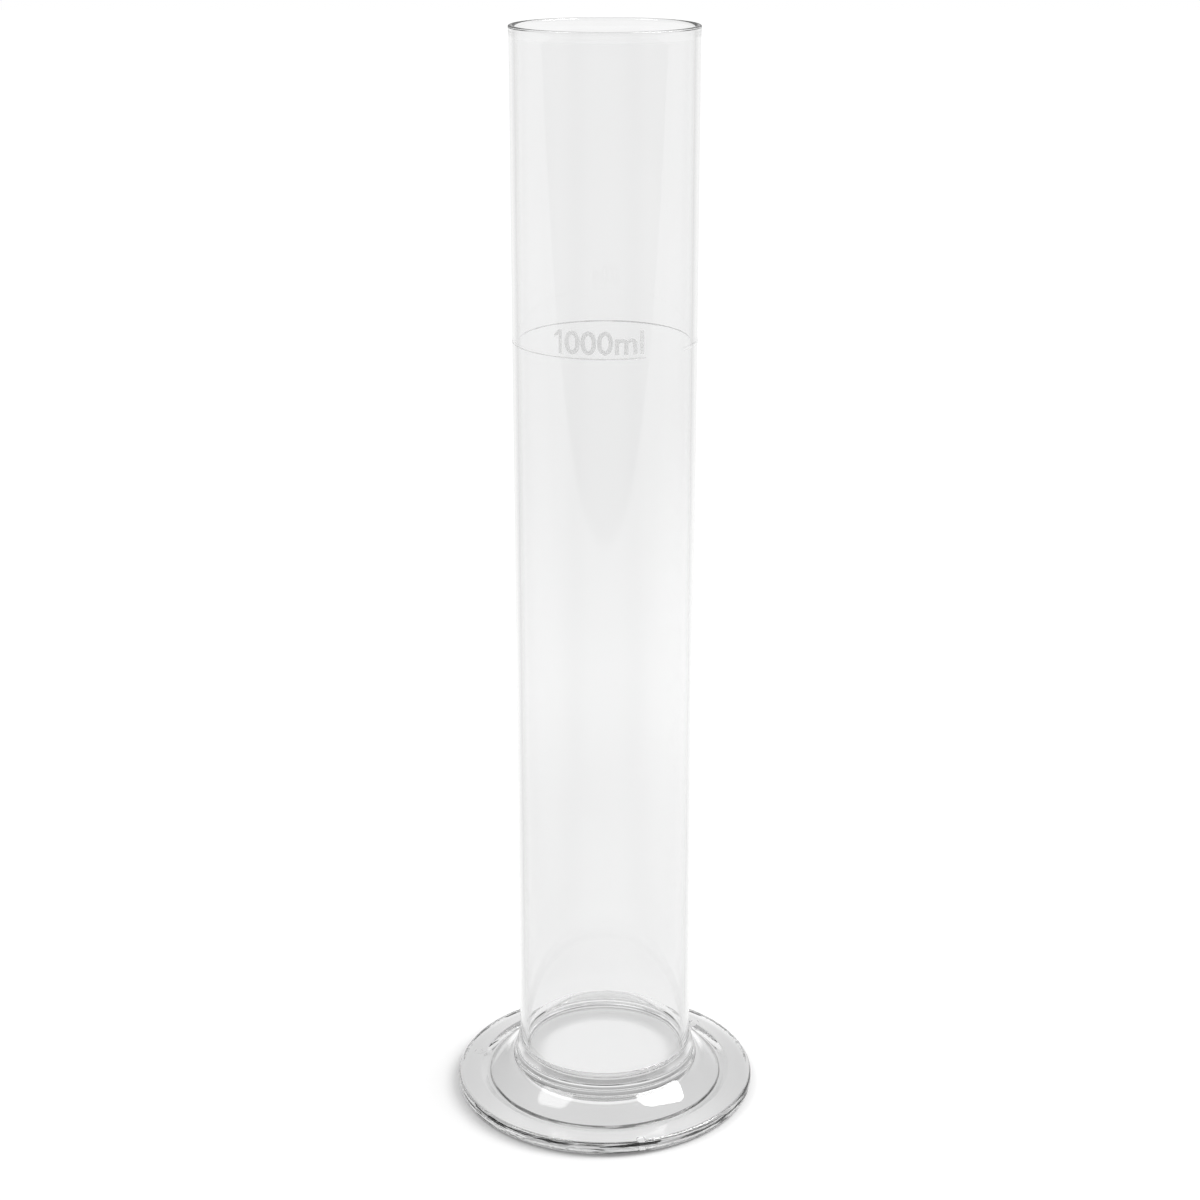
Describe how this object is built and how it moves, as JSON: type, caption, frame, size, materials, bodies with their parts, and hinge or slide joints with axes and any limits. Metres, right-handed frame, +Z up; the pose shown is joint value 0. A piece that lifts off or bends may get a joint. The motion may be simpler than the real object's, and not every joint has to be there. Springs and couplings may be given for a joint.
{
  "type": "hydrometer cylinder",
  "caption": "Tall straight clear-glass cylinder with a fire-polished open rim and a capacity line, fused to a round pressed glass foot with a conical dome and flat flange.",
  "frame": {"origin": "on the table, under the middle of the foot", "axes": "+Z up along the tube, -Y towards the front, where the capacity line is read"},
  "size_m": [0.122, 0.122, 0.431],
  "materials": {
    "tube_glass": "clear drawn glass, fire polished",
    "foot_glass": "clear pressed glass, fire polished",
    "fired_enamel": "thin fired-on pale enamel"
  },
  "bodies": {
    "root": {"cylinder_tube": "tube_glass", "pressed_foot": "foot_glass", "weld_ring": "foot_glass", "graduation_ring": "fired_enamel"}
  },
  "joints": []
}
